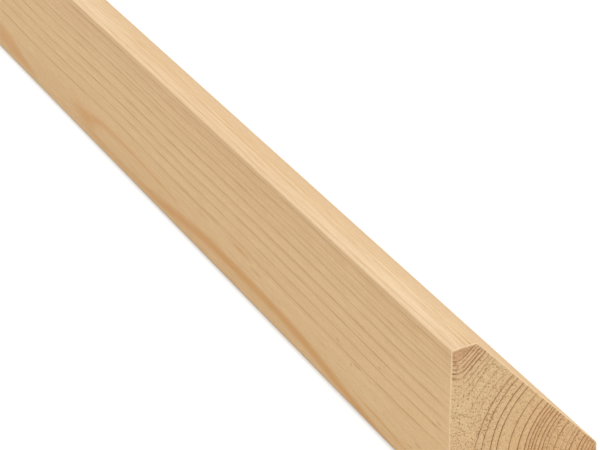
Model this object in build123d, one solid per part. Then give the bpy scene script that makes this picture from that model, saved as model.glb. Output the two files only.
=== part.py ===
from build123d import *
import os

# Planed softwood strip, one piece, in millimetres.
# X runs along the strip, Y across it from the upright back to the nose, Z up from the base.
# The origin is at the middle of the base.

# Length and section
LENGTH = 1000.0
HEIGHT = 45.0
WIDTH = 44.0
TOP_FLAT = 7.0  # flat left on top, from the back to the bevel
TOE_HEIGHT = 3.0  # upright left at the nose, below the bevel

# Long edges
NOSE_RADIUS = 2.5  # bevel into toe
TOE_RADIUS = 0.8  # toe into base
SHOULDER_RADIUS = 1.5  # top flat into bevel
ARRIS_RADIUS = 0.5  # the two edges of the back, only eased by the planer

# Sawn ends
END_EASE = 0.25  # chamfer that sanding leaves round each end


def section():
    """The outline across the strip, from the foot of the back round to its top."""
    back = -WIDTH / 2
    nose = WIDTH / 2
    corners = [
        (back, 0),
        (nose, 0),
        (nose, TOE_HEIGHT),
        (back + TOP_FLAT, HEIGHT),
        (back, HEIGHT),
    ]
    radii = [ARRIS_RADIUS, TOE_RADIUS, NOSE_RADIUS, SHOULDER_RADIUS, ARRIS_RADIUS]
    outline = FilletPolyline(*corners, radius=radii, close=True)
    return Plane.YZ * make_face(outline)


def planed_strip():
    """The section run out to both sides of the middle, as it leaves the planer."""
    return extrude(section(), amount=LENGTH / 2, both=True)


def sawn_to_length(strip):
    """The strip with the sharp edge taken off both sawn ends."""
    faces = strip.faces().sort_by(Axis.X)
    end_edges = faces.first.edges() + faces.last.edges()
    return chamfer(end_edges, END_EASE)


os.makedirs("parts", exist_ok=True)
export_step(sawn_to_length(planed_strip()), "parts/timber_strip.step")
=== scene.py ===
# Planed softwood strip lying on a white floor, in metres.
# X runs along the strip, Y across it from the upright back to the nose, Z up from the base.

import math

import bpy
import numpy as np
from mathutils import Matrix, Vector


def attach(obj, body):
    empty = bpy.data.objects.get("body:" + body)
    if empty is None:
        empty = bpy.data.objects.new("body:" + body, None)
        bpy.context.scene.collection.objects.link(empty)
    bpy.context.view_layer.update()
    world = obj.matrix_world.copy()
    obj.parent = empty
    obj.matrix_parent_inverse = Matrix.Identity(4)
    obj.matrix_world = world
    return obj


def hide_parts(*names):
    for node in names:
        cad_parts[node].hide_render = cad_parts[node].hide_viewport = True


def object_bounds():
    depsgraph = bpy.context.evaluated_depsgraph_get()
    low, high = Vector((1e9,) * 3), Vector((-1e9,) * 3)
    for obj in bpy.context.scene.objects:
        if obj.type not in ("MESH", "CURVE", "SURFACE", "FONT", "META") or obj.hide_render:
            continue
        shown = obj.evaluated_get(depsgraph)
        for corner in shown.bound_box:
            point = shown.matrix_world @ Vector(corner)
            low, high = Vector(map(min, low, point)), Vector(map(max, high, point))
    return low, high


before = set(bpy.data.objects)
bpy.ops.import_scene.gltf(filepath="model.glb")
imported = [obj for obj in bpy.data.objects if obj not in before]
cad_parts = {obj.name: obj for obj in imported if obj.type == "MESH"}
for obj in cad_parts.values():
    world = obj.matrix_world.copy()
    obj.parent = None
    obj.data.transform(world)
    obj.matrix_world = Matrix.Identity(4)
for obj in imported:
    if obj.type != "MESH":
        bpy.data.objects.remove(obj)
cad_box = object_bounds()

MM = 1000  # millimetres in a metre

# The strip: overall sizes from the frame, the rest as in the CAD model
LENGTH, WIDTH, HEIGHT = (high - low for low, high in zip(*cad_box))
TOP_FLAT = 0.007  # flat left on top, from the back to the bevel
TOE_HEIGHT = 0.003  # upright left at the nose, below the bevel
NOSE_RADIUS = 0.0025
TOE_RADIUS = 0.0008
SHOULDER_RADIUS = 0.0015
ARRIS_RADIUS = 0.0005
END_EASE = 0.00025  # chamfer that sanding leaves round each end

# Mesh
PIECE_NAME = "timber_strip_wood"
ARC_STEP = math.radians(12)
LEAST_ARC_STEPS = 2
OUTLINE_STEP = 0.00062
STATIONS = 168  # steps along the strip
CAP_RINGS = 66  # steps from the rim of an end to its core
CAP_CORE_SHARE = 0.02
CAP_CENTRE = (-0.008, 0.0155)  # Y and Z of the core of an end
EASE_LEAST_SHARE = 0.45  # the narrowest that the uneven chamfer gets
EASE_REACH_SHARE = 1.01  # the end reaches just past the foot of the chamfer
EASE_SHIFTS = (0, 1, 2, -1)  # neighbours over which the chamfer's width is evened out
FAR_SEED = 11
NEAR_SEED = 12
END_RELIEF = 0.00006  # how far soft wood lies below the ring lines on the ends
RELIEF_WIDTH = 0.45  # millimetres behind a line in which most of the relief falls away
SHARP_ANGLE = math.radians(32)  # a sharper edge is not shaded smooth
RIDGE_HIGHLIGHT_SHARE = 0.29  # painted highlight: how pale the arris between back and top is painted
RIM_HIGHLIGHT_FADE_SHARE = 0.35  # painted highlight: how pale the wood just inside the rim of an end is painted
EDGE_HIGHLIGHT_SHARE = 0.9  # painted highlight: how pale the rim itself is painted

# Flat map: the long faces below, the two ends side by side above
MAP_NAME = "OFBake"
LONG_MAP = (0.01, 0.99, 0.005, 0.645)  # left, right, foot, head
END_MAP_SIDE = 0.34
END_MAP_FOOT = 0.655
FAR_MAP_START = 0.01
NEAR_MAP_START = 0.51

# Growth rings, in millimetres, on a field of circles that touch at one point outside the nose
TOUCH_ACROSS = 56.21  # from the back
TOUCH_DEPTH = 52.35  # below the top
TOUCH_TILT = math.radians(42.3)  # the way from that point to the middles of the circles
TOUCH_LEAN = 0.012  # how much the circles lean
FOLD_ACROSS = 1.50  # the rings fold towards the back here, at the top
FOLD_LEAN = 0.165  # and this much further in for each millimetre down
FOLD_ROUNDNESS = 1.59  # millimetres over which the fold turns
BACK_SLOPE_TOP = -0.66  # how the rings run from the fold to the back, at the top
BACK_SLOPE_GAIN = 0.126  # how much that changes further down
BACK_SLOPE_DEPTH = 18.0  # most of the change lies above this depth

# How the rings drift down along the strip: place along, drift at the top, drift at the foot
DRIFTS = [
    (0, 0.0, 0.0),
    (25, 0.2, 0.7),
    (78, -0.4, 0.2),
    (113, -0.05, -0.6),
    (151, 0.4, -0.4),
    (187, 0.0, -1.0),
    (246, 0.45, 0.65),
    (298, -0.2, 0.15),
    (354, 0.3, -0.65),
    (402, -0.3, 0.5),
    (448, 0.2, 0.9),
    (520, -0.4, -0.3),
    (575, 0.1, 0.6),
    (640, -0.5, -0.8),
    (702, 0.2, 0.2),
    (755, 0.5, 0.8),
    (830, -0.2, -0.5),
    (884, 0.3, 0.4),
    (940, -0.4, -0.2),
    (1000, 0.1, 0.3),
]

# Small dark flecks on the back: place along, depth, half the length, half the height
FLECKS = [
    (4.9, 24.0, 1.6, 0.40),
    (6.9, 25.6, 1.6, 0.40),
    (33.1, 24.6, 1.3, 0.40),
    (44.5, 31.0, 2.6, 0.45),
    (47.6, 32.2, 0.8, 0.60),
    (54.7, 28.6, 1.3, 0.45),
    (100.6, 33.2, 4.5, 0.50),
    (111.1, 31.0, 3.6, 0.40),
    (14.3, 36.5, 2.0, 0.50),
    (17.9, 39.0, 1.4, 0.35),
]
FLECK_PERIOD = 310.0  # after this length the flecks come again
FLECK_REACH = 0.5  # how far round the arris a fleck goes
FLECK_EDGE_SHARES = (0.3, 1.1)  # where a fleck starts to fade and ends, from its middle out
FLECK_SHARE = 0.65

# Flames, where a ring comes out flat on the lower back:
# place along, depth of the middle, half the width, darkness
FLAME_ARCH = [
    (27, 44.7, 0.5, 0.5),
    (42, 43.5, 0.9, 0.8),
    (54, 42.3, 1.3, 0.9),
    (62, 41.2, 1.5, 1.0),
    (72, 40.0, 1.5, 1.0),
    (88, 39.1, 1.4, 1.0),
    (107, 38.8, 1.5, 1.0),
    (130, 38.8, 1.5, 1.0),
    (142, 39.9, 1.5, 0.9),
    (154, 41.3, 1.5, 0.9),
    (167, 42.3, 1.2, 0.75),
    (177, 42.8, 0.9, 0.55),
    (190, 43.0, 0.8, 0.45),
    (203, 42.7, 0.9, 0.5),
    (210, 42.2, 1.0, 0.5),
    (217, 41.4, 1.2, 0.4),
    (224, 41.0, 1.0, 0.0),
]
FLAME_EYELID = [
    (148, 36.4, 0.3, 0.0),
    (154, 36.1, 0.4, 0.6),
    (164, 35.6, 0.5, 0.6),
    (177, 35.0, 0.5, 0.7),
    (193, 34.7, 0.8, 0.7),
    (203, 35.1, 1.0, 0.75),
    (209, 36.4, 1.6, 0.75),
    (214, 38.0, 2.3, 0.8),
    (219, 38.4, 2.6, 0.75),
    (224, 38.2, 2.0, 0.5),
    (231, 37.6, 1.0, 0.0),
]
FLAME_BLOT = [
    (257, 42.6, 0.8, 0.0),
    (263, 42.0, 1.2, 0.6),
    (270, 41.2, 1.8, 0.8),
    (280, 39.5, 2.8, 0.8),
    (290, 38.6, 3.4, 0.7),
    (306, 39.5, 3.0, 0.7),
    (326, 41.5, 2.2, 0.6),
    (354, 43.9, 1.4, 0.0),
]
FLAME_STREAK = [
    (13, 42.1, 0.3, 0.0),
    (21, 41.5, 0.4, 0.8),
    (37, 40.3, 0.4, 0.7),
    (46, 39.7, 0.3, 0.0),
]
FLAME_PATCH = [
    (103, 31.3, 0.5, 0.0),
    (107, 31.1, 0.8, 0.4),
    (113, 31.1, 0.8, 0.4),
    (117, 31.3, 0.5, 0.0),
]
FLAMES = [FLAME_ARCH, FLAME_EYELID, FLAME_BLOT, FLAME_STREAK, FLAME_PATCH]

# Where the flames come again along the strip: start, stretch, depth added
FLAME_PLACES = [
    (0.0, 1.0, 0.0),
    (790.0, -1.35, 1.2),
    (1010.0, -1.1, 0.4),
]
FLAME_FADE_ACROSS = 1.5  # how far a flame reaches round the arris
FLAME_END_SHARE = 1.5  # a flame is gone at this many of its half widths

# Ring lines: place on the field, darkness on the ends, darkness on the long faces
RINGS = [
    (75.40, 0.3, 0.3),
    (74.45, 0.3, 0.5),
    (73.95, 0.3, 0.2),
    (73.15, 0.4, 1.0),
    (72.70, 0.2, 0.4),
    (72.15, 1.0, 0.4),
    (71.25, 0.6, 0.3),
    (70.62, 0.0, 0.8),
    (70.22, 1.0, 0.1),
    (69.25, 1.0, 0.2),
    (68.10, 1.0, 0.7),
    (66.52, 0.6, 0.9),
    (65.15, 0.5, 0.1),
    (63.86, 0.5, 1.0),
    (60.88, 0.35, 1.0),
    (58.27, 0.30, 1.0),
    (56.00, 0.0, 1.0),
    (55.65, 0.9, 0.0),
    (53.70, 0.8, 1.0),
    (51.06, 1.0, 0.0),
    (48.98, 1.0, 1.0),
    (45.06, 0.8, 0.8),
    (42.06, 1.0, 1.0),
    (39.72, 1.0, 1.0),
    (38.50, 0.9, 0.8),
    (37.40, 0.9, 0.8),
    (36.40, 0.9, 0.8),
    (35.00, 0.9, 0.9),
    (33.70, 0.8, 0.8),
    (32.30, 0.5, 0.6),
    (29.75, 0.8, 0.9),
    (27.40, 0.4, 0.6),
    (25.85, 0.5, 0.5),
    (24.42, 0.9, 1.0),
    (21.70, 1.0, 1.0),
    (20.37, 0.9, 0.8),
    (19.10, 0.6, 0.7),
    (18.06, 0.8, 0.8),
    (16.90, 0.7, 0.7),
    (15.80, 0.7, 0.7),
    (14.60, 0.7, 0.7),
]
RING_PLACES = [ring[0] for ring in RINGS]
END_COLUMN = 1
LONG_COLUMN = 2
RING_SPAN = 80.0  # more than any place on the field
FAR_OFF = 200.0  # farther than any line or fleck that shows

# Where the lines show less
TIP_DEPTH = 6.6  # below this the folded part of the lines fades on the ends
TIP_FADE = 2.5  # depth over which it does
FOLD_FADE = 3.0  # how far to either side of the fold it does
FOLD_GAP = 0.8  # half the width in which the lines nearly break at the fold
FOLD_GAP_SHARE = 0.65
FOLDED_LINE_SHARE = 0.2
TOP_LINE_SHARE = 0.12  # how much of the ring lines the flat top shows

# Ring lines as drawn, in millimetres behind the line
LINE_FULL = 0.10
LONG_LINE_END = 0.65
LONG_TAIL_END = 1.8
LONG_TAIL_SHARE = 0.25
LONG_LATE_SHARE = 0.90
END_LINE_END = 0.48
END_TAIL_END = 1.1
END_TAIL_SHARE = 0.24
END_LATE_SHARE = 0.95
LEAST_STEEPNESS = 0.10  # a ring that comes out flatter than this is drawn wider

# Top and bevel
TOP_FADE = 0.6  # depth over which the top's ground, paler partly by painted sheen, ends
BEVEL_FADE = 1.0  # how far past the shoulder the bevel's ground, partly painted sheen, is reached
BEVEL_TONE_AND_SHEEN_SHARE = 0.5  # how much of its ground the bevel shows, partly its own tone and partly painted sheen

# Fine lines along the flat top: distance from the back, half the width, darkness
TOP_LINES = [
    (1.25, 0.50, 0.38),
    (4.15, 0.45, 0.30),
    (5.35, 0.40, 0.24),
    (6.30, 0.35, 0.16),
]
TOP_LINE_WANDER = 0.3  # how far the lines stray to either side

# Cells of the noises in the grain, in millimetres along X, Y and Z
UNIT_CELLS = (1.0, 1.0, 1.0)
BREAK_CELLS = (10.0, 0.9, 0.9)  # breaks in the ring lines
CLOUD_CELLS = (110.0, 12.0, 12.0)
STREAK_CELLS = (55.0, 0.75, 0.75)
FIBRE_CELLS = (9.0, 0.22, 0.22)
TOOTH_CELLS = (0.7, 0.26, 0.26)
TONE_CELLS = (26.0, 1.1, 1.1)  # the two colours of the flames
FLECK_CELLS = (1.5, 0.4, 0.4)
STRAY_CELLS = (70.0, 9.0, 9.0)  # how the lines on the top stray
SPECK_CELLS = (40.0, 0.34, 0.34)
PIT_CELLS = (40.0, 0.50, 0.50)
PIT_STRAY_CELLS = (40.0, 0.7, 0.7)
LOW_DETAIL = 1.0
PLAIN_DETAIL = 2.0
HIGH_DETAIL = 3.0

# Bands of a noise over which each effect comes in
BREAK_BAND = (0.30, 0.65)
CLOUD_BAND = (0.40, 0.70)
DARK_BAND = (0.50, 0.80)
FIBRE_DARK_BAND = (0.45, 0.80)
PALE_BAND = (0.50, 0.20)
TONE_BAND = (0.40, 0.60)
FLAME_FIBRE_BAND = (0.25, 0.60)
FLECK_BAND = (0.35, 0.65)
STRAY_BAND = (0.25, 0.75)
SPECK_LINE_BAND = (0.30, 0.55)
SPECK_DARK_BAND = (0.48, 0.80)
SPECK_PALE_BAND = (0.50, 0.22)

# How much of each effect shows, at most, or at least where the name says so
BREAK_LEAST_SHARE = 0.45
CLOUD_SHARE = 0.14
STREAK_DARK_SHARE = 0.24
STREAK_PALE_SHARE = 0.26
FIBRE_SHARE = 0.40
TOOTH_SHARE = 0.22
FLAME_LEAST_SHARE = 0.70
FLECK_LEAST_SHARE = 0.5
SPECK_LINE_LEAST_SHARE = 0.70
SPECK_DARK_SHARE = 0.65
SPECK_PALE_SHARE = 0.80
PIT_DARK_SHARE = 0.75

# Finish
PLAIN_ROUGHNESS = 0.55
LATE_ROUGHNESS = 0.70
BEVEL_ROUGHNESS = 0.72  # the bevel is left less smooth than the other faces
SPECULAR_LEVEL = 0.25
LONG_RELIEF_SHARE = 0.5  # relief of the lines on the long faces, against those on the ends
FIBRE_RELIEF_SHARE = 0.4
BUMP_SHARE = 0.35
BUMP_HEIGHT = 0.00012

# Camera, from the edges in the photo
PHOTO_WIDTH = 600
PHOTO_HEIGHT = 450
SENSOR_WIDTH = 36.0
FOCAL_PIXELS = 2270.07
VIEW_AZIMUTH = math.radians(61.933)
VIEW_ELEVATION = math.radians(30.724)
VIEW_ROLL = math.radians(0.663)
CORNER_PIXEL = (451.81, 350.90)  # top of the back at the near end
CORNER_DEPTH = 0.5302

# Stage
FLOOR_SIZE = 40.0
FLOOR_BOUNCE_SHARE = 0.86  # what the floor throws back on the strip
FLOOR_GLOW_SHARE = 0.70  # the part of the white floor that only a touch darkens
FLOOR_TOUCH = 0.0015  # how near the strip the glow fades
FLOOR_CATCH_SHARE = 0.46  # the part that a shadow can take away
SKY_STRENGTH = 0.66
LAMP_SIZE = 2.4
LAMP_PLACE = (0.6, 0.1, 2.2)
LAMP_WATTS = 30.5


def srgb(red, green, blue):
    """A colour written as it looks on a screen, 0 to 255, as the linear value that a node takes."""
    shares = [value / 255 for value in (red, green, blue)]
    linear = [s / 12.92 if s <= 0.04045 else ((s + 0.055) / 1.055) ** 2.4 for s in shares]
    return (*linear, 1.0)


def grey(share):
    """A grey from black at 0 to white at 1."""
    return (share, share, share, 1.0)


WHITE = grey(1.0)

# Wood colours
LONG_DARK = srgb(194, 148, 98)
FLAME_DARK = srgb(214, 157, 98)
FLAME_YELLOW = srgb(215, 164, 99)
FLECK_DARK = srgb(192, 138, 88)
FIBRE_PALE = srgb(246, 222, 182)
# Ground of the bevel, paler and greyer than the other faces: partly its own tone, partly painted sheen
BEVEL_TONE_AND_SHEEN = srgb(232, 198, 154)
END_DARK = srgb(134, 78, 34)
PIT_DARK = srgb(152, 99, 52)
# Painted highlights: pale colours laid on the arris between back and top and on the rim of each end
RIDGE_HIGHLIGHT = srgb(240, 210, 168)
RIM_HIGHLIGHT = srgb(246, 214, 168)
END_PALE = srgb(242, 212, 168)

# Ground colours of the long faces, the top and the ends by place on the field; the top's paler, greyer
# ground is partly its own tone and partly painted sheen
LONG_GROUNDS = [
    (15.0, srgb(225, 187, 134)),
    (45.0, srgb(226, 188, 135)),
    (52.0, srgb(230, 193, 141)),
    (62.0, srgb(230, 193, 141)),
    (68.5, srgb(229, 191, 140)),
    (71.0, srgb(228, 189, 138)),
    (73.5, srgb(229, 191, 141)),
]
# The flat top's ground, greyer and paler than the back's: partly its own tone, partly painted sheen
TOP_GROUNDS_AND_SHEEN = [
    (72.0, srgb(224, 192, 148)),
    (73.0, srgb(225, 194, 151)),
    (74.0, srgb(228, 197, 157)),
    (74.7, srgb(229, 199, 160)),
]
END_GROUNDS = [
    (14.0, srgb(222, 175, 121)),
    (27.0, srgb(226, 186, 135)),
    (36.0, srgb(225, 182, 129)),
    (46.0, srgb(226, 188, 137)),
    (55.0, srgb(229, 192, 143)),
    (62.0, srgb(230, 196, 147)),
    (69.0, srgb(229, 190, 142)),
    (71.9, srgb(226, 185, 138)),
    (72.6, srgb(214, 168, 124)),
    (75.0, srgb(212, 165, 121)),
]

# How many pits show on the ends by place on the field
PIT_SHARES = [
    (12.0, 0.20),
    (27.5, 0.30),
    (30.0, 1.00),
    (33.2, 1.00),
    (35.5, 0.20),
    (40.0, 0.05),
    (50.0, 0.08),
    (55.5, 0.90),
    (60.0, 0.70),
    (64.0, 0.50),
    (67.0, 0.25),
    (74.0, 0.40),
]
PIT_MOST_SHARE = 0.55  # of the cells, the most that hold a pit
PIT_SIZE_SHARES = (0.18, 0.62)  # of a cell
PIT_EDGE_SHARES = (0.30, 1.0)  # where a pit starts to fade and ends, from its middle out
PIT_STRAY = (1.4, 1.4, 1.4)  # how far a pit strays, in cells


# Shape of the strip


def arc_points(corner, before, after, radius):
    """Points of the arc that rounds one corner of the section."""
    into = (corner - before) / np.linalg.norm(corner - before)
    out = (after - corner) / np.linalg.norm(after - corner)
    turn = math.acos(np.clip(into @ out, -1, 1))
    start = corner - into * radius * math.tan(turn / 2)
    inward = np.array([-into[1], into[0]])
    centre = start + inward * radius
    steps = max(LEAST_ARC_STEPS, math.ceil(turn / ARC_STEP))
    angles = np.linspace(0, turn, steps + 1)
    return [centre + radius * (math.sin(a) * into - math.cos(a) * inward) for a in angles]


def section_outline():
    """Points round the section, Y and Z, from the foot of the back, with the rounded corners."""
    back = -WIDTH / 2
    nose = WIDTH / 2
    corners = [
        (back, 0),
        (nose, 0),
        (nose, TOE_HEIGHT),
        (back + TOP_FLAT, HEIGHT),
        (back, HEIGHT),
    ]
    radii = [ARRIS_RADIUS, TOE_RADIUS, NOSE_RADIUS, SHOULDER_RADIUS, ARRIS_RADIUS]
    corners = [np.array(c, dtype=float) for c in corners]
    arcs = []
    for i, radius in enumerate(radii):
        arcs.append(arc_points(corners[i], corners[i - 1], corners[(i + 1) % len(corners)], radius))
    points = []
    for i, arc in enumerate(arcs):
        points += arc
        start = arc[-1]
        end = arcs[(i + 1) % len(arcs)][0]
        steps = max(1, round(np.linalg.norm(end - start) / OUTLINE_STEP))
        points += [start + (end - start) * k / steps for k in range(1, steps)]
    return np.array(points)


def inward_normals(outline):
    """Unit vectors that point into the section from each point of its outline."""
    along = np.roll(outline, -1, axis=0) - np.roll(outline, 1, axis=0)
    inward = np.stack([-along[:, 1], along[:, 0]], axis=1)
    return inward / np.linalg.norm(inward, axis=1, keepdims=True)


def eased_between(places, stops, values):
    """Values read off a smooth line that turns level at each stop."""
    step = np.clip(np.searchsorted(stops, places) - 1, 0, len(stops) - 2)
    share = np.clip((places - stops[step]) / (stops[step + 1] - stops[step]), 0, 1)
    weight = (1 - np.cos(np.pi * share)) / 2
    return values[step] * (1 - weight) + values[step + 1] * weight


def measures(points):
    """Millimetres along from the near end, across from the back and down from the top."""
    along = (LENGTH / 2 - points[:, 0]) * MM
    across = (points[:, 1] + WIDTH / 2) * MM
    depth = (HEIGHT - points[:, 2]) * MM
    return along, across, depth


def ring_field(points):
    """Place of each point on the field of growth rings, in millimetres."""
    along, across, depth = measures(points)
    low_share = depth / (HEIGHT * MM)
    stops, top_drift, foot_drift = np.array(DRIFTS).T
    depth = depth - eased_between(along, stops, top_drift) * (1 - low_share)
    depth = depth - eased_between(along, stops, foot_drift) * low_share
    fold = FOLD_ACROSS + FOLD_LEAN * depth
    back_slope = BACK_SLOPE_TOP + BACK_SLOPE_GAIN * np.tanh(depth / BACK_SLOPE_DEPTH)
    beyond = across - fold
    bent = np.sqrt(beyond ** 2 + FOLD_ROUNDNESS ** 2)
    folded = fold + (1 + back_slope) / 2 * beyond + (1 - back_slope) / 2 * bent
    to_touch = TOUCH_ACROSS - folded
    over_touch = TOUCH_DEPTH - depth + TOUCH_LEAN * folded
    slant = to_touch * math.cos(TOUCH_TILT) + over_touch * math.sin(TOUCH_TILT)
    return (to_touch ** 2 + over_touch ** 2) / slant


def flame_share(points):
    """How much of a flame shows at each point, from 0 to 1."""
    along, across, depth = measures(points)
    share = np.zeros(len(points))
    for start, stretch, lower in FLAME_PLACES:
        place = (along - start) / stretch
        for band in FLAMES:
            stops, middles, halves, darks = np.array(band).T
            middle = np.interp(place, stops, middles) + lower
            half = np.interp(place, stops, halves)
            dark = np.interp(place, stops, darks, left=0, right=0)
            inside = np.clip(FLAME_END_SHARE - np.abs(depth - middle) / half, 0, 1)
            share = np.maximum(share, dark * inside)
    return share * np.exp(-(across / FLAME_FADE_ACROSS) ** 2)


def top_share(points):
    """1 on the flat top, less round its edges, and 0 on all the rest."""
    depth = measures(points)[2]
    return np.clip(1 - depth / TOP_FADE, 0, 1)


def bevel_share(points):
    """1 past the shoulder, less just there, and 0 on the top and the back."""
    across = measures(points)[1]
    return np.clip((across - TOP_FLAT * MM) / BEVEL_FADE, 0, 1)


def line_share(points):
    """How plainly the ring lines show at each point, from 0 to 1."""
    across, depth = measures(points)[1:]
    at_end = np.abs(points[:, 0]) > LENGTH / 2 - EASE_REACH_SHARE * END_EASE
    below_tip = np.clip((depth - TIP_DEPTH) / TIP_FADE, 0, 1)
    past_fold = across - FOLD_ACROSS - FOLD_LEAN * depth
    before_fold = np.clip((FOLD_FADE - past_fold) / (2 * FOLD_FADE), 0, 1)
    on_end = 1 - (1 - FOLDED_LINE_SHARE) * below_tip * before_fold
    on_end = on_end * (1 - FOLD_GAP_SHARE * np.exp(-(past_fold / FOLD_GAP) ** 2))
    on_long = np.where(depth < ARRIS_RADIUS * MM, TOP_LINE_SHARE, 1.0)
    return np.where(at_end, on_end, on_long)


def ring_steepness(rings):
    """How fast the field changes round the outline, per millimetre, for each point of each ring."""
    count, points = rings.shape[:2]
    field = ring_field(rings.reshape(-1, 3)).reshape(count, points)
    change = np.roll(field, -1, axis=1) - np.roll(field, 1, axis=1)
    step = np.linalg.norm(np.roll(rings, -1, axis=1) - np.roll(rings, 1, axis=1), axis=2) * MM
    return (np.abs(change) / step).reshape(-1)


def lag_behind_line(field):
    """Millimetres from each place on the field to the next ring line."""
    ahead = np.array(RING_PLACES)[None, :] - field[:, None]
    return np.where(ahead < 0, FAR_OFF, ahead).min(axis=1)


def uneven_ease(count, seed):
    """Width of the end chamfer round the outline, uneven as hand sanding leaves it."""
    draw = np.random.default_rng(seed)
    rough = draw.random(count)
    smooth = np.mean([np.roll(rough, shift) for shift in EASE_SHIFTS], axis=0)
    spread = (smooth - smooth.min()) / (smooth.max() - smooth.min())
    return END_EASE * (EASE_LEAST_SHARE + (1 - EASE_LEAST_SHARE) * spread)


def end_cap(outline, side, seed):
    """Rings of one sawn end, from the core out to the rim and on to the foot of the chamfer."""
    ease = uneven_ease(len(outline), seed)
    rim = outline + inward_normals(outline) * ease[:, None]
    core = np.array(CAP_CENTRE)
    rings = []
    for share in np.linspace(CAP_CORE_SHARE, 1, CAP_RINGS):
        flat = core + (rim - core) * share
        ring = np.column_stack([np.full(len(flat), side * LENGTH / 2), flat])
        if share < 1:
            lag = lag_behind_line(ring_field(ring))
            below = 1 - np.exp(-(lag / RELIEF_WIDTH) ** 2)
            ring[:, 0] -= side * END_RELIEF * below
        rings.append(ring)
    foot = np.column_stack([side * (LENGTH / 2 - ease), outline])
    rings.append(foot)
    return rings


def strip_rings(outline):
    """All rings of the strip from the core of the far end to the core of the near end."""
    far = end_cap(outline, -1, FAR_SEED)
    near = end_cap(outline, 1, NEAR_SEED)
    middle = []
    for x in np.linspace(-LENGTH / 2, LENGTH / 2, STATIONS + 1)[1:-1]:
        middle.append(np.column_stack([np.full(len(outline), x), outline]))
    return np.array(far + middle + near[::-1])


def strip_faces(rings, points):
    """Quads between neighbouring rings, and a fan of triangles over each core."""
    grid = np.arange(rings * points).reshape(rings, points)
    ahead = np.roll(grid, -1, axis=1)
    quads = np.stack([grid[:-1], ahead[:-1], ahead[1:], grid[1:]], axis=-1).reshape(-1, 4)
    far_core = rings * points
    near_core = far_core + 1
    faces = quads.tolist()
    faces += [(far_core, int(b), int(a)) for a, b in zip(grid[0], ahead[0])]
    faces += [(near_core, int(a), int(b)) for a, b in zip(grid[-1], ahead[-1])]
    return faces


def face_values(rings, outline):
    """For each face, whether it is end grain and how much painted highlight it takes on the rims of the
    ends and the arris between back and top, as two lists.
    """
    points = len(outline)
    end_rows = np.zeros(rings - 1)
    end_rows[:CAP_RINGS] = 1
    end_rows[-CAP_RINGS:] = 1
    # Painted highlight on the rim of each end, weaker on the row just inside it
    rim_highlight_rows = np.zeros(rings - 1)
    rim_highlight_rows[CAP_RINGS - 1] = 1
    rim_highlight_rows[-CAP_RINGS] = 1
    rim_highlight_rows[CAP_RINGS - 2] = RIM_HIGHLIGHT_FADE_SHARE
    rim_highlight_rows[1 - CAP_RINGS] = RIM_HIGHLIGHT_FADE_SHARE
    middles = (outline + np.roll(outline, -1, axis=0)) / 2
    at_back = middles[:, 0] < ARRIS_RADIUS - WIDTH / 2
    at_top = middles[:, 1] > HEIGHT - ARRIS_RADIUS
    # Painted highlight along the arris between back and top
    ridge_highlight = RIDGE_HIGHLIGHT_SHARE * (at_back & at_top)
    highlights = np.maximum(rim_highlight_rows[:, None], ridge_highlight[None, :] * (1 - end_rows)[:, None])
    ends = np.repeat(end_rows, points).tolist() + [1.0] * (2 * points)
    return ends, highlights.reshape(-1).tolist() + [0.0] * (2 * points)


def flat_map(rings, outline):
    """Where each corner of each face lies on the flat map, as pairs from 0 to 1."""
    count, points = rings.shape[:2]
    steps = np.linalg.norm(np.roll(outline, -1, axis=0) - outline, axis=1)
    girth = np.concatenate([[0], np.cumsum(steps)]) / steps.sum()
    left, right, foot, head = LONG_MAP
    around = np.broadcast_to(foot + (head - foot) * girth, (count, points + 1))
    lengthways = np.broadcast_to((rings[:, :1, 0] + LENGTH / 2) / LENGTH, (count, points + 1))
    long_spots = np.stack([left + (right - left) * lengthways, around], axis=-1)
    closed = np.concatenate([rings, rings[:, :1]], axis=1)
    across = (closed[:, :, 1] + WIDTH / 2) / HEIGHT * END_MAP_SIDE
    up = closed[:, :, 2] / HEIGHT * END_MAP_SIDE + END_MAP_FOOT
    far_spots = np.stack([FAR_MAP_START + across, up], axis=-1)
    near_spots = np.stack([NEAR_MAP_START + across, up], axis=-1)
    spots = []
    for row in range(count - 1):
        if row < CAP_RINGS:
            grid = far_spots
        elif row >= count - 1 - CAP_RINGS:
            grid = near_spots
        else:
            grid = long_spots
        here = grid[row]
        ahead = grid[row + 1]
        spots.append(np.stack([here[:-1], here[1:], ahead[1:], ahead[:-1]], axis=1).reshape(-1, 2))
    core_across = (CAP_CENTRE[0] + WIDTH / 2) / HEIGHT * END_MAP_SIDE
    core_up = CAP_CENTRE[1] / HEIGHT * END_MAP_SIDE + END_MAP_FOOT
    far_core = np.broadcast_to((FAR_MAP_START + core_across, core_up), (points, 2))
    near_core = np.broadcast_to((NEAR_MAP_START + core_across, core_up), (points, 2))
    far_ring = far_spots[0]
    near_ring = near_spots[-1]
    spots.append(np.stack([far_core, far_ring[1:], far_ring[:-1]], axis=1).reshape(-1, 2))
    spots.append(np.stack([near_core, near_ring[:-1], near_ring[1:]], axis=1).reshape(-1, 2))
    return np.concatenate(spots)


def carry(mesh, name, domain, values):
    """Gives the mesh a value for its material to read."""
    mesh.attributes.new(name, "FLOAT", domain).data.foreach_set("value", values)


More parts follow.
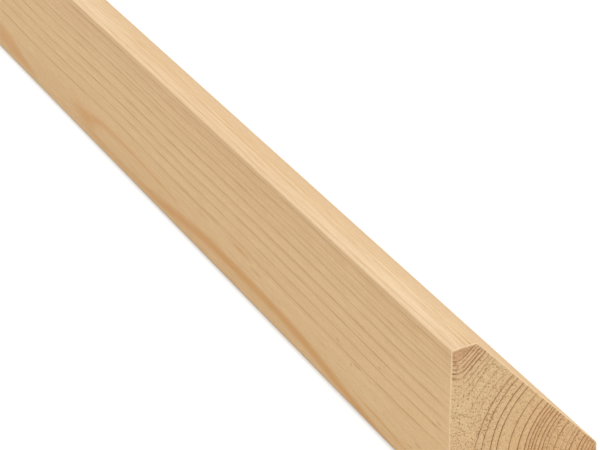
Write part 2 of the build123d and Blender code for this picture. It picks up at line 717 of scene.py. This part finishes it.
def new_strip():
    """The strip as one closed mesh, with the values that its material reads."""
    outline = section_outline()
    rings = strip_rings(outline)
    count, points = rings.shape[:2]
    cores = []
    for side in (-1, 1):
        cores.append((side * (LENGTH / 2 - END_RELIEF), *CAP_CENTRE))
    vertices = np.concatenate([rings.reshape(-1, 3), np.array(cores)])
    mesh = bpy.data.meshes.new(PIECE_NAME)
    mesh.from_pydata(vertices.tolist(), [], strip_faces(count, points))
    ends, highlights = face_values(count, outline)
    mesh.uv_layers.new(name=MAP_NAME).data.foreach_set("uv", flat_map(rings, outline).reshape(-1))
    carry(mesh, "ring_field", "POINT", ring_field(vertices))
    carry(mesh, "ring_steepness", "POINT", [*ring_steepness(rings), 1.0, 1.0])
    carry(mesh, "top_share", "POINT", top_share(vertices))
    carry(mesh, "bevel_share", "POINT", bevel_share(vertices))
    carry(mesh, "line_share", "POINT", line_share(vertices))
    carry(mesh, "flame_share", "POINT", flame_share(vertices))
    carry(mesh, "end_grain", "FACE", ends)
    # Painted highlight on the rims of the ends and on the arris between back and top
    carry(mesh, "painted_edge_highlight", "FACE", highlights)
    mesh.polygons.foreach_set("use_smooth", [True] * len(mesh.polygons))
    mesh.set_sharp_from_angle(angle=SHARP_ANGLE)
    mesh.update()
    strip = bpy.data.objects.new(PIECE_NAME, mesh)
    bpy.context.scene.collection.objects.link(strip)
    return strip


# Material nodes

# Sockets of a Mix node that mixes colours
MIX_SHARE_SOCKET = 0
MIX_FIRST_SOCKET = 6
MIX_SECOND_SOCKET = 7
MIX_RESULT_SOCKET = 2


def feed(tree, socket, value):
    """Joins an input to another socket, or sets it to a plain value."""
    if isinstance(value, bpy.types.NodeSocket):
        tree.links.new(value, socket)
    else:
        socket.default_value = value


def add_node(tree, kind, inputs, **settings):
    """A new node with its settings, and its inputs fed in turn."""
    node = tree.nodes.new(kind)
    for name, value in settings.items():
        setattr(node, name, value)
    for key, value in inputs.items():
        feed(tree, node.inputs[key], value)
    return node


def calc(tree, operation, *values):
    """One sum of a Math node."""
    return add_node(tree, "ShaderNodeMath", dict(enumerate(values)), operation=operation).outputs[0]


def vector_calc(tree, operation, *values):
    """A Vector Math node."""
    return add_node(tree, "ShaderNodeVectorMath", dict(enumerate(values)), operation=operation)


def ramp(tree, value, start, end, at_start, at_end):
    """A smooth step from one value to another."""
    inputs = {
        "Value": value,
        "From Min": start,
        "From Max": end,
        "To Min": at_start,
        "To Max": at_end,
    }
    return add_node(tree, "ShaderNodeMapRange", inputs, interpolation_type="SMOOTHSTEP").outputs[0]


def mix(tree, share, first, second):
    """One colour laid over another by a share."""
    inputs = {MIX_SHARE_SOCKET: share, MIX_FIRST_SOCKET: first, MIX_SECOND_SOCKET: second}
    return add_node(tree, "ShaderNodeMix", inputs, data_type="RGBA").outputs[MIX_RESULT_SOCKET]


def tinted(tree, ground, value, band, share, colour):
    """The ground with a colour that comes in over a band of a value, up to a share."""
    return mix(tree, ramp(tree, value, *band, 0.0, share), ground, colour)


def attribute(tree, name):
    """A value that the mesh carries."""
    return add_node(tree, "ShaderNodeAttribute", {}, attribute_name=name).outputs["Fac"]


def stretched(tree, cells):
    """Coordinates in cells of the given sizes in millimetres along X, Y and Z."""
    place = tree.nodes.new("ShaderNodeTexCoord").outputs["Object"]
    return vector_calc(tree, "MULTIPLY", place, [MM / cell for cell in cells]).outputs[0]


def place_on_strip(tree):
    """Millimetres along from the near end, across from the back and down from the top."""
    place = add_node(tree, "ShaderNodeSeparateXYZ", {0: stretched(tree, UNIT_CELLS)}).outputs
    along = calc(tree, "SUBTRACT", LENGTH / 2 * MM, place[0])
    across = calc(tree, "ADD", place[1], WIDTH / 2 * MM)
    depth = calc(tree, "SUBTRACT", HEIGHT * MM, place[2])
    return along, across, depth


def noise(tree, cells, detail=PLAIN_DETAIL, output="Fac"):
    """Soft noise in cells of the given sizes."""
    inputs = {"Vector": stretched(tree, cells), "Scale": 1.0, "Detail": detail}
    return add_node(tree, "ShaderNodeTexNoise", inputs).outputs[output]


def curve(tree, value, points):
    """A value read off a line through the given points on the ring field."""
    node = add_node(tree, "ShaderNodeFloatCurve", {"Value": calc(tree, "DIVIDE", value, RING_SPAN)})
    line = node.mapping.curves[0]
    ordered = sorted(points)
    line.points[0].location = (0.0, ordered[0][1])
    line.points[1].location = (1.0, ordered[-1][1])
    for place, height in ordered:
        line.points.new(place / RING_SPAN, height)
    for point in line.points:
        point.handle_type = "VECTOR"
    node.mapping.update()
    return node.outputs[0]


def ring_lag(tree, field):
    """Millimetres on the field from each point to the next ring line."""
    nearest = FAR_OFF
    for ring_place in RING_PLACES:
        ahead = calc(tree, "SUBTRACT", ring_place, field)
        ahead = calc(tree, "WRAP", ahead, FAR_OFF, 0.0)
        nearest = calc(tree, "MINIMUM", nearest, ahead)
    return nearest


def ground_colour(tree, field, grounds):
    """Colour of the wood between the lines, by place on the field."""
    node = tree.nodes.new("ShaderNodeValToRGB")
    feed(tree, node.inputs[0], calc(tree, "DIVIDE", field, RING_SPAN))
    stops = node.color_ramp.elements
    for place, colour in grounds:
        stops.new(place / RING_SPAN).color = colour
    stops.remove(stops[0])
    stops.remove(stops[-1])
    return node.outputs[0]


def ring_strength(tree, field, lag, column):
    """Darkness of the next ring line, from one column of the ring list."""
    drawn = curve(tree, calc(tree, "ADD", field, lag), [(ring[0], ring[column]) for ring in RINGS])
    return calc(tree, "MULTIPLY", drawn, attribute(tree, "line_share"))


def line_and_tail(tree, behind, line_end, tail_end, tail_share):
    """1 on a ring line, less on the soft tail behind it, and 0 on the rest."""
    line = ramp(tree, behind, LINE_FULL, line_end, 1.0, 0.0)
    tail = ramp(tree, behind, 0.0, tail_end, tail_share, 0.0)
    return calc(tree, "MAXIMUM", line, tail)


def fleck_share(tree):
    """How much of a small dark fleck shows on the back."""
    along, across, depth = place_on_strip(tree)
    along = calc(tree, "WRAP", along, FLECK_PERIOD, 0.0)
    spot = add_node(tree, "ShaderNodeCombineXYZ", {0: along, 1: depth}).outputs[0]
    nearest = FAR_OFF
    for fleck_along, fleck_depth, half_length, half_height in FLECKS:
        off = vector_calc(tree, "SUBTRACT", spot, (fleck_along, fleck_depth, 0.0)).outputs[0]
        off = vector_calc(tree, "DIVIDE", off, (half_length, half_height, 1.0)).outputs[0]
        away = vector_calc(tree, "LENGTH", off).outputs["Value"]
        nearest = calc(tree, "MINIMUM", nearest, away)
    patchy = ramp(tree, noise(tree, FLECK_CELLS), *FLECK_BAND, FLECK_LEAST_SHARE, 1.0)
    on_back = calc(tree, "LESS_THAN", across, FLECK_REACH)
    shown = calc(tree, "MULTIPLY", ramp(tree, nearest, *FLECK_EDGE_SHARES, FLECK_SHARE, 0.0), patchy)
    return calc(tree, "MULTIPLY", shown, on_back)


def top_lines(tree):
    """How much of a fine dark line shows on the flat top."""
    stray = ramp(tree, noise(tree, STRAY_CELLS), *STRAY_BAND, -TOP_LINE_WANDER, TOP_LINE_WANDER)
    across = calc(tree, "ADD", place_on_strip(tree)[1], stray)
    shown = 0.0
    for middle, half, dark in TOP_LINES:
        away = calc(tree, "ABSOLUTE", calc(tree, "SUBTRACT", across, middle))
        shown = calc(tree, "MAXIMUM", shown, ramp(tree, away, 0.0, half, dark, 0.0))
    return calc(tree, "MULTIPLY", shown, attribute(tree, "top_share"))


def dark_and_pale(tree, ground, value, dark_band, dark_share, pale_share):
    """The ground of a long face, darker where a noise is high and paler where it is low."""
    ground = tinted(tree, ground, value, dark_band, dark_share, LONG_DARK)
    return tinted(tree, ground, value, PALE_BAND, pale_share, FIBRE_PALE)


def long_ground(tree, field, fibre, broken):
    """Colour of the planed faces between the ring lines, with flames and flecks, and with painted sheen
    in the top and bevel grounds.
    """
    bevel = calc(tree, "MULTIPLY", attribute(tree, "bevel_share"), BEVEL_TONE_AND_SHEEN_SHARE)
    cloud = noise(tree, CLOUD_CELLS)
    streak = noise(tree, STREAK_CELLS)
    tooth = noise(tree, TOOTH_CELLS, LOW_DETAIL)
    ground = ground_colour(tree, field, LONG_GROUNDS)
    # The top's ground: partly its own tone, partly painted sheen
    ground = mix(tree, attribute(tree, "top_share"), ground, ground_colour(tree, field, TOP_GROUNDS_AND_SHEEN))
    # The bevel's ground: partly its own tone, partly painted sheen
    ground = mix(tree, bevel, ground, BEVEL_TONE_AND_SHEEN)
    ground = tinted(tree, ground, cloud, CLOUD_BAND, CLOUD_SHARE, FLAME_DARK)
    ground = dark_and_pale(tree, ground, streak, DARK_BAND, STREAK_DARK_SHARE, STREAK_PALE_SHARE)
    ground = dark_and_pale(tree, ground, fibre, FIBRE_DARK_BAND, FIBRE_SHARE, FIBRE_SHARE)
    ground = dark_and_pale(tree, ground, tooth, DARK_BAND, TOOTH_SHARE, TOOTH_SHARE)
    ground = mix(tree, calc(tree, "MULTIPLY", top_lines(tree), broken), ground, LONG_DARK)
    uneven = ramp(tree, fibre, *FLAME_FIBRE_BAND, FLAME_LEAST_SHARE, 1.0)
    flame = calc(tree, "MULTIPLY", attribute(tree, "flame_share"), uneven)
    tone = ramp(tree, noise(tree, TONE_CELLS), *TONE_BAND, 0.0, 1.0)
    ground = mix(tree, flame, ground, mix(tree, tone, FLAME_DARK, FLAME_YELLOW))
    return mix(tree, fleck_share(tree), ground, FLECK_DARK)


def long_grain(tree, field, lag):
    """Colour of the planed faces, how much late wood shows there, and their fibres."""
    steepness = calc(tree, "MAXIMUM", attribute(tree, "ring_steepness"), LEAST_STEEPNESS)
    behind = calc(tree, "DIVIDE", lag, steepness)
    late = line_and_tail(tree, behind, LONG_LINE_END, LONG_TAIL_END, LONG_TAIL_SHARE)
    late = calc(tree, "MULTIPLY", late, ring_strength(tree, field, lag, LONG_COLUMN))
    broken = ramp(tree, noise(tree, BREAK_CELLS, HIGH_DETAIL), *BREAK_BAND, BREAK_LEAST_SHARE, 1.0)
    late = calc(tree, "MULTIPLY", late, broken)
    fibre = noise(tree, FIBRE_CELLS, HIGH_DETAIL)
    ground = long_ground(tree, field, fibre, broken)
    colour = mix(tree, calc(tree, "MULTIPLY", late, LONG_LATE_SHARE), ground, LONG_DARK)
    return colour, late, fibre


def end_grain(tree, field, lag):
    """Colour of the sawn ends, and how dark each point is there."""
    late = line_and_tail(tree, lag, END_LINE_END, END_TAIL_END, END_TAIL_SHARE)
    late = calc(tree, "MULTIPLY", late, ring_strength(tree, field, lag, END_COLUMN))
    speck = noise(tree, SPECK_CELLS, HIGH_DETAIL)
    late = calc(tree, "MULTIPLY", late, ramp(tree, speck, *SPECK_LINE_BAND, SPECK_LINE_LEAST_SHARE, 1.0))
    ground = ground_colour(tree, field, END_GROUNDS)
    ground = tinted(tree, ground, speck, SPECK_DARK_BAND, SPECK_DARK_SHARE, PIT_DARK)
    ground = tinted(tree, ground, speck, SPECK_PALE_BAND, SPECK_PALE_SHARE, END_PALE)
    pits = pit_share(tree, field)
    ground = mix(tree, calc(tree, "MULTIPLY", pits, PIT_DARK_SHARE), ground, PIT_DARK)
    colour = mix(tree, calc(tree, "MULTIPLY", late, END_LATE_SHARE), ground, END_DARK)
    return colour, calc(tree, "MAXIMUM", late, pits)


def pit_share(tree, field):
    """Small dark pits on the ends, where the pores of the wood are cut across."""
    stray = noise(tree, PIT_STRAY_CELLS, output="Color")
    bent = vector_calc(tree, "MULTIPLY_ADD", stray, PIT_STRAY, stretched(tree, PIT_CELLS)).outputs[0]
    place = add_node(tree, "ShaderNodeSeparateXYZ", {0: bent}).outputs
    flat = add_node(tree, "ShaderNodeCombineXYZ", {0: place[1], 1: place[2]}).outputs[0]
    inputs = {"Vector": flat, "Scale": 1.0}
    cells = add_node(tree, "ShaderNodeTexVoronoi", inputs, voronoi_dimensions="2D").outputs
    draw = add_node(tree, "ShaderNodeSeparateColor", {0: cells["Color"]}).outputs
    size = ramp(tree, draw[1], 0.0, 1.0, *PIT_SIZE_SHARES)
    dot = ramp(tree, calc(tree, "DIVIDE", cells["Distance"], size), *PIT_EDGE_SHARES, 1.0, 0.0)
    most = calc(tree, "MULTIPLY", curve(tree, field, PIT_SHARES), PIT_MOST_SHARE)
    return calc(tree, "MULTIPLY", dot, calc(tree, "LESS_THAN", draw[0], most))


def softwood():
    """Planed softwood with its growth rings, fibres and pores."""
    material = bpy.data.materials.new("softwood")
    material.use_nodes = True
    tree = material.node_tree
    shader = tree.nodes["Principled BSDF"]
    field = attribute(tree, "ring_field")
    is_end = attribute(tree, "end_grain")
    edge_highlight = attribute(tree, "painted_edge_highlight")
    lag = ring_lag(tree, field)
    long_colour, long_late, fibre = long_grain(tree, field, lag)
    end_colour, end_late = end_grain(tree, field, lag)
    colour = mix(tree, is_end, long_colour, end_colour)
    # Painted highlights: the arris between back and top and the rim of each end are painted paler
    pale = mix(tree, is_end, RIDGE_HIGHLIGHT, RIM_HIGHLIGHT)
    colour = mix(tree, calc(tree, "MULTIPLY", edge_highlight, EDGE_HIGHLIGHT_SHARE), colour, pale)
    feed(tree, shader.inputs["Base Color"], colour)
    end_late = calc(tree, "MULTIPLY", end_late, is_end)
    long_late = calc(tree, "MULTIPLY", long_late, LONG_RELIEF_SHARE)
    late = calc(tree, "MAXIMUM", end_late, long_late)
    rough = ramp(tree, late, 0.0, 1.0, PLAIN_ROUGHNESS, LATE_ROUGHNESS)
    coarse = ramp(tree, attribute(tree, "bevel_share"), 0.0, 1.0, 0.0, BEVEL_ROUGHNESS)
    coarse = calc(tree, "MULTIPLY", coarse, calc(tree, "SUBTRACT", 1.0, is_end))
    feed(tree, shader.inputs["Roughness"], calc(tree, "MAXIMUM", rough, coarse))
    shader.inputs["Specular IOR Level"].default_value = SPECULAR_LEVEL
    relief = calc(tree, "SUBTRACT", calc(tree, "MULTIPLY", fibre, FIBRE_RELIEF_SHARE), late)
    bump_inputs = {"Height": relief, "Strength": BUMP_SHARE, "Distance": BUMP_HEIGHT}
    bump = add_node(tree, "ShaderNodeBump", bump_inputs)
    feed(tree, shader.inputs["Normal"], bump.outputs[0])
    return material


# Stage, light and camera


def seen_directly(tree):
    """1 for what the camera sees, straight or in gloss or glass."""
    path = tree.nodes.new("ShaderNodeLightPath").outputs
    seen = calc(tree, "MAXIMUM", path["Is Camera Ray"], path["Is Glossy Ray"])
    return calc(tree, "MAXIMUM", seen, path["Is Transmission Ray"])


def white_floor_material():
    """A floor that looks white and keeps a faint shadow, and throws back plain pale light."""
    material = bpy.data.materials.new("white_floor")
    material.use_nodes = True
    tree = material.node_tree
    tree.nodes.clear()
    clear = add_node(tree, "ShaderNodeAmbientOcclusion", {"Distance": FLOOR_TOUCH}).outputs["AO"]
    strength = calc(tree, "MULTIPLY", clear, FLOOR_GLOW_SHARE)
    glow = add_node(tree, "ShaderNodeEmission", {"Color": WHITE, "Strength": strength})
    catch = add_node(tree, "ShaderNodeBsdfDiffuse", {"Color": grey(FLOOR_CATCH_SHARE)})
    seen = add_node(tree, "ShaderNodeAddShader", {0: glow.outputs[0], 1: catch.outputs[0]})
    plain = add_node(tree, "ShaderNodeBsdfDiffuse", {"Color": grey(FLOOR_BOUNCE_SHARE)})
    choice = {0: seen_directly(tree), 1: plain.outputs[0], 2: seen.outputs[0]}
    either = add_node(tree, "ShaderNodeMixShader", choice)
    add_node(tree, "ShaderNodeOutputMaterial", {"Surface": either.outputs[0]})
    return material


def new_floor():
    """The level floor under the strip."""
    half = FLOOR_SIZE / 2
    mesh = bpy.data.meshes.new("floor")
    corners = [(-half, -half, 0), (half, -half, 0), (half, half, 0), (-half, half, 0)]
    mesh.from_pydata(corners, [], [(0, 1, 2, 3)])
    mesh.materials.append(white_floor_material())
    floor = bpy.data.objects.new("floor", mesh)
    bpy.context.scene.collection.objects.link(floor)
    return floor


def set_sky():
    """Even light from all round, white where it is seen."""
    world = bpy.data.worlds.new("studio")
    world.use_nodes = True
    tree = world.node_tree
    strength = ramp(tree, seen_directly(tree), 0.0, 1.0, SKY_STRENGTH, 1.0)
    tree.nodes["Background"].inputs["Color"].default_value = WHITE
    feed(tree, tree.nodes["Background"].inputs["Strength"], strength)
    bpy.context.scene.world = world


def new_lamp():
    """A large soft lamp overhead, on the side of the near end."""
    light = bpy.data.lights.new("overhead", "AREA")
    light.size = LAMP_SIZE
    light.energy = LAMP_WATTS
    lamp = bpy.data.objects.new("overhead", light)
    lamp.location = LAMP_PLACE
    lamp.rotation_euler = Vector(LAMP_PLACE).to_track_quat("Z", "Y").to_euler()
    lamp.visible_camera = False
    bpy.context.scene.collection.objects.link(lamp)


def view_axes():
    """The camera's directions to the right, up and back from what it sees."""
    level = math.cos(VIEW_ELEVATION)
    back = Vector((
        math.sin(VIEW_AZIMUTH) * level,
        -math.cos(VIEW_AZIMUTH) * level,
        math.sin(VIEW_ELEVATION),
    ))
    flat_right = Vector((0, 0, 1)).cross(back).normalized()
    flat_up = back.cross(flat_right)
    right = flat_right * math.cos(VIEW_ROLL) - flat_up * math.sin(VIEW_ROLL)
    up = flat_right * math.sin(VIEW_ROLL) + flat_up * math.cos(VIEW_ROLL)
    return right, up, back


def new_camera():
    """The camera that sees the near top corner of the back where the photo shows it."""
    right, up, back = view_axes()
    aside = (CORNER_PIXEL[0] - PHOTO_WIDTH / 2) / FOCAL_PIXELS * CORNER_DEPTH
    above = (PHOTO_HEIGHT / 2 - CORNER_PIXEL[1]) / FOCAL_PIXELS * CORNER_DEPTH
    corner = Vector((LENGTH / 2, -WIDTH / 2, HEIGHT))
    place = corner + back * CORNER_DEPTH - right * aside - up * above
    data = bpy.data.cameras.new("camera")
    data.sensor_width = SENSOR_WIDTH
    data.lens = FOCAL_PIXELS * SENSOR_WIDTH / PHOTO_WIDTH
    camera = bpy.data.objects.new("camera", data)
    turn = Matrix((right, up, back)).transposed()
    camera.matrix_world = Matrix.Translation(place) @ turn.to_4x4()
    bpy.context.scene.collection.objects.link(camera)
    bpy.context.scene.camera = camera


strip = new_strip()
strip.data.materials.append(softwood())
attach(strip, "root")
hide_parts("timber_strip")

new_floor()
set_sky()
new_lamp()
new_camera()
bpy.context.scene.view_settings.view_transform = "Standard"
